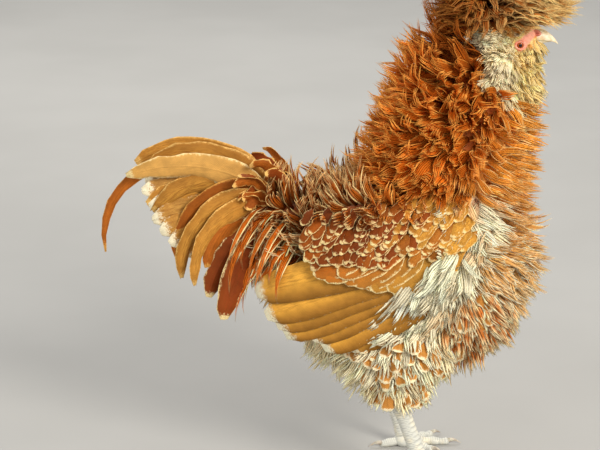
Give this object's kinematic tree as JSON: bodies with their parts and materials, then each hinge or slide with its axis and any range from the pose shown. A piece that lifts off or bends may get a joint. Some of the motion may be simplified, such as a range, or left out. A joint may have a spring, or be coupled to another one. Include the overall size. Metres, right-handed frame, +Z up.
{
  "type": "padovana cockerel",
  "caption": "Standing crested cockerel with a beard, a curled feather coat, folded wings, a fanned tail with bent sickles and bare grey shanks.",
  "frame": {"origin": "on the floor, under the middle of the bird's length and width", "axes": "+X the way the beak points, +Y the bird's left side, +Z up"},
  "size_m": [0.4491, 0.2163, 0.5121],
  "materials": {
    "rust_feather": "soft",
    "buff_feather": "soft",
    "cream_feather": "soft",
    "face_skin": "matt",
    "beak_horn": "satin",
    "eye_orange": "wet",
    "leg_scale": "matt",
    "claw_horn": "satin"
  },
  "bodies": {
    "root": {"neck": "rust_feather", "tail": "rust_feather", "torso": "buff_feather", "crest": "buff_feather", "wing_right": "buff_feather", "wing_left": "buff_feather", "beard": "cream_feather", "muff_right": "cream_feather", "muff_left": "cream_feather", "thigh_right": "cream_feather", "thigh_left": "cream_feather", "head": "face_skin", "beak_upper": "beak_horn", "beak_lower": "beak_horn", "eye_right": "eye_orange", "eye_left": "eye_orange", "shank_right": "leg_scale", "shank_left": "leg_scale", "foot_right": "leg_scale", "foot_left": "leg_scale", "claw_right_1": "claw_horn", "claw_right_2": "claw_horn", "claw_right_3": "claw_horn", "claw_right_4": "claw_horn", "claw_left_1": "claw_horn", "claw_left_2": "claw_horn", "claw_left_3": "claw_horn", "claw_left_4": "claw_horn"}
  },
  "joints": []
}
